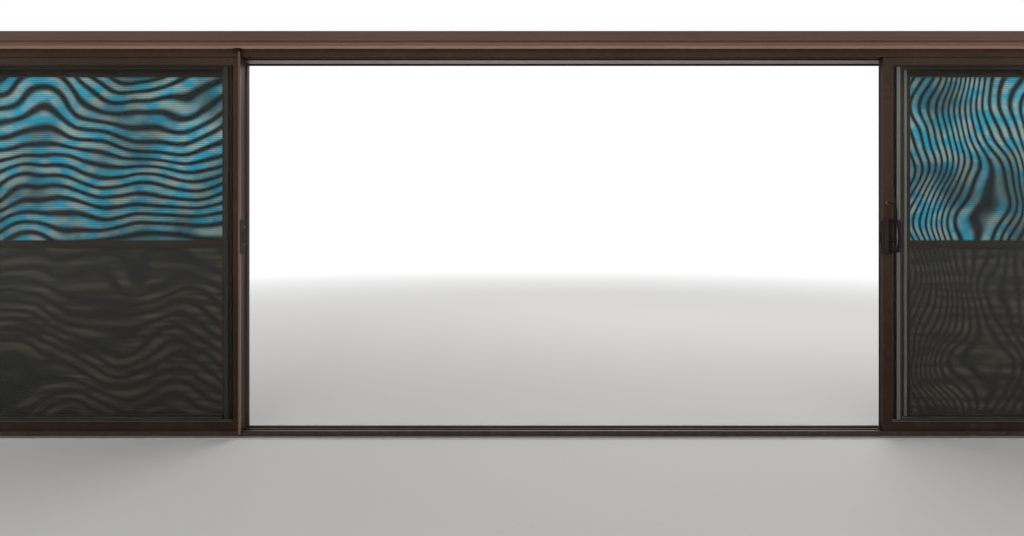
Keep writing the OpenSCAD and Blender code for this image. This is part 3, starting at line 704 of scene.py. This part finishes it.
def pile_strip(shape, start, end, width, height, width_dir, height_dir):
    """A strip of pile from start to end, its tips uneven. Start and end lie on the wall it sits on."""
    steps = max(2, int(math.dist(start, end) / PILE_STEP))
    rings = []
    for k in range(steps + 1):
        f = k / steps
        swell = 1 - 0.16 * rng.random()
        ring = []
        for u, v in PILE_OUTLINE:
            reach = v * height * (swell if v > 0.5 else 1)
            ring.append(tuple(start[i] + (end[i] - start[i]) * f + width_dir[i] * u * width
                              + height_dir[i] * reach for i in range(3)))
        rings.append(ring)
    shape.rings(rings)


# Half the frame's width inside the jambs, and Y of the indoor lip's inner face, of the fixed interlocks'
# indoor face, of the seal on the doors' leading edges and of the screens' indoor face
HALF_IN = 3.770
LIP_INNER = -0.0695
INTERLOCK_FACE = -0.0245
EDGE_SEAL_Y = -0.0347
SCREEN_FACE = 0.0415
# Foot and top of the strips on the doors and on the screens
DOOR_STRIP = (0.036, 2.052)
SCREEN_STRIP = (0.040, 2.050)


def upright_strip(shape, x, y, ends, width, height, width_dir, height_dir):
    """A pile strip that runs up at x, y."""
    pile_strip(shape, (x, y, ends[0]), (x, y, ends[1]), width, height, width_dir, height_dir)


def weather_strips():
    """Pile of the head and sill, and of each side's interlock, screen stile and door edge."""
    for name, z in (("head_pile", 2.0625), ("sill_pile", 0.0255)):
        lip = Shape()
        pile_strip(lip, (-HALF_IN, LIP_INNER, z), (HALF_IN, LIP_INNER, z), 6 * MM, 3.5 * MM, Z, Y)
        lip.piece(name, PILE, "frame", "black_rubber")
    for side, s in SIDES:
        hook = Shape()
        for x in (s * 1.8445, s * 1.8545):
            upright_strip(hook, x, INTERLOCK_FACE, DOOR_STRIP, 7 * MM, 4.5 * MM, X, (0, -1, 0))
        hook.piece(f"{side}_interlock_pile", PILE_OF[side], "frame", "black_rubber")
        closer = Shape()
        x = s * (SCREEN_LEAD[side] + 0.0155)
        upright_strip(closer, x, SCREEN_FACE, SCREEN_STRIP, 14 * MM, 6 * MM, X, (0, -1, 0))
        closer.piece(f"{side}_screen_pile", PILE_OF[side], f"{side}_screen", "black_rubber")
        edge = Shape()
        upright_strip(edge, s * DOOR_LEAD, EDGE_SEAL_Y, DOOR_STRIP, 4.6 * MM, 3.5 * MM, Y, (-s, 0, 0))
        edge.piece(f"{side}_door_edge_seal", PILE, f"{side}_door", "black_rubber")


weather_strips()


# Floor, light and camera

FLOOR_HALF = 60.0
FLOOR_Z = -0.3 * MM


def floor():
    """A pale floor that fades into the white background far out."""
    corners = [(x * FLOOR_HALF, y * FLOOR_HALF, FLOOR_Z) for x, y in ((-1, -1), (1, -1), (1, 1), (-1, 1))]
    mesh = bpy.data.meshes.new("floor")
    mesh.from_pydata(corners, [], [(0, 1, 2, 3)])
    made = bpy.data.objects.new("floor", mesh)
    bpy.context.scene.collection.objects.link(made)
    t = Tree("pale_floor")
    distance = t.add("ShaderNodeVectorMath", {0: t.place}, operation="LENGTH").outputs["Value"]
    far = t.span(distance, 1.0, 16.0)
    grain = t.noise(60.0, 3.0)
    t.set(Base_Color=t.mix(grain, srgb(232, 230, 227), srgb(239, 237, 234)), Roughness=0.7)
    white = t.add("ShaderNodeEmission", {"Color": (1, 1, 1, 1), "Strength": 1.0})
    both = t.add("ShaderNodeMixShader", {0: t.math("MULTIPLY", far, seen_directly(t)),
                                         1: t.shader.outputs[0], 2: white.outputs[0]})
    t.links.new(both.outputs[0], t.nodes["Material Output"].inputs["Surface"])
    made.data.materials.append(t.material)


def seen_directly(t):
    """1 for camera, glossy and transmission rays."""
    path = t.add("ShaderNodeLightPath").outputs
    seen = t.math("MAXIMUM", path["Is Camera Ray"], path["Is Glossy Ray"])
    return t.math("MAXIMUM", seen, path["Is Transmission Ray"])


def studio_world():
    """Soft light all round, and white where a camera, glossy or transmission ray looks straight at it."""
    world = bpy.data.worlds.new("studio")
    world.use_nodes = True
    bpy.context.scene.world = world
    nodes, links = world.node_tree.nodes, world.node_tree.links
    light = nodes["Background"]
    light.inputs["Color"].default_value = (1.0, 1.0, 1.0, 1.0)
    light.inputs["Strength"].default_value = 0.38
    white = nodes.new("ShaderNodeBackground")
    white.inputs["Color"].default_value = (1.0, 1.0, 1.0, 1.0)
    white.inputs["Strength"].default_value = 1.0
    path = nodes.new("ShaderNodeLightPath").outputs
    seen = nodes.new("ShaderNodeMath")
    seen.operation = "MAXIMUM"
    links.new(path["Is Camera Ray"], seen.inputs[0])
    links.new(path["Is Glossy Ray"], seen.inputs[1])
    through = nodes.new("ShaderNodeMath")
    through.operation = "MAXIMUM"
    links.new(seen.outputs[0], through.inputs[0])
    links.new(path["Is Transmission Ray"], through.inputs[1])
    both = nodes.new("ShaderNodeMixShader")
    links.new(through.outputs[0], both.inputs[0])
    links.new(light.outputs[0], both.inputs[1])
    links.new(white.outputs[0], both.inputs[2])
    links.new(both.outputs[0], nodes["World Output"].inputs["Surface"])


def lamp(name, place, target, width, height, watts, spread=180.0, mirrored=True):
    """A rectangular lamp that no camera or transmission ray sees, aimed at a point."""
    data = bpy.data.lights.new(name, "AREA")
    data.spread = math.radians(spread)
    data.shape = "RECTANGLE"
    data.size = width
    data.size_y = height
    data.energy = watts
    made = bpy.data.objects.new(name, data)
    made.location = place
    way = [target[i] - place[i] for i in range(3)]
    made.rotation_euler = look_along(way)
    made.visible_camera = False
    made.visible_transmission = False
    made.visible_glossy = mirrored
    bpy.context.scene.collection.objects.link(made)


def look_along(way):
    """The turn of a lamp that shines along a direction."""
    return Vector(way).to_track_quat("-Z", "Y").to_euler()


# The photo's eye point and lens. The shifts put its horizon and its middle where the photo has them
EYE = (-0.1775, -2.7775, 1.044)
LENS = 17.58
SHIFT = (-0.0176, -0.0234)


def camera():
    """A level camera at the photo's eye point, looking along +Y."""
    data = bpy.data.cameras.new("camera")
    data.lens = LENS
    data.sensor_width = 36.0
    data.shift_x, data.shift_y = SHIFT
    data.clip_end = 200.0
    made = bpy.data.objects.new("camera", data)
    made.location = EYE
    made.rotation_euler = (math.radians(90), 0, 0)
    bpy.context.scene.collection.objects.link(made)
    bpy.context.scene.camera = made


floor()
studio_world()
lamp("key", (-1.8, -5.2, 4.6), (-0.6, 0.0, 1.0), 4.0, 2.6, 18.0)
lamp("fill", (2.7, -5.0, 3.2), (0.8, 0.0, 1.0), 3.0, 2.6, 14.0)
lamp("outdoors", (2.0, 4.6, 5.0), (0.3, 0.0, 0.6), 6.0, 2.5, 120.0)
lamp("deck", (0.0, 2.6, 0.2), (0.0, -0.1, 2.1), 7.0, 1.2, 24.0, 70.0)
lamp("bounce", (0.0, -0.62, 0.03), (0.0, -0.32, 2.1), 7.0, 0.6, 42.0, 40.0, False)
camera()
bpy.context.scene.view_settings.view_transform = "Standard"
